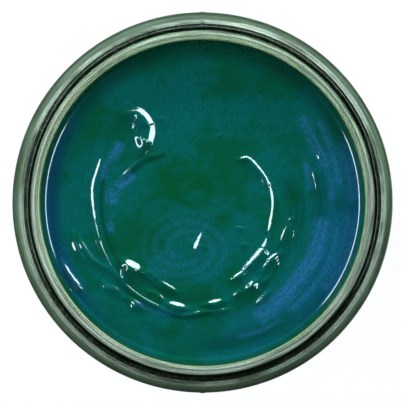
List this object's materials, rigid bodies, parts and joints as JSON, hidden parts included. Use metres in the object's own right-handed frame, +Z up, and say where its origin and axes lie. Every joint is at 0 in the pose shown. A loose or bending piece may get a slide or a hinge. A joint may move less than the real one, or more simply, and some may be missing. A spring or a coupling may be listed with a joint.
{
  "type": "paint jar",
  "caption": "Straight-sided wide-mouth glass jar, open and filled almost to the brim with glossy teal paint, with its ribbed screw lid lying beside it.",
  "frame": {"origin": "middle of the jar's foot ring, on the surface that the jar stands on", "axes": "+Z up along the jar's axis, out of its mouth; +X from the jar towards the lid that lies beside it; the mould seams of the glass are on +Y and -Y"},
  "size_m": [0.2036, 0.093, 0.096],
  "materials": {
    "glass": "gloss",
    "paint": "gloss",
    "lid_plastic": "satin",
    "liner_foam": "matte"
  },
  "bodies": {
    "jar": {"jar_glass": "glass", "paint_fill": "paint"},
    "lid": {"lid_cap": "lid_plastic", "lid_liner": "liner_foam"}
  },
  "joints": [
    {"name": "lid_lift", "type": "slide", "parent": "jar", "child": "lid", "axis": [0, 0, 1], "range_m": [0, 0.1]}
  ]
}
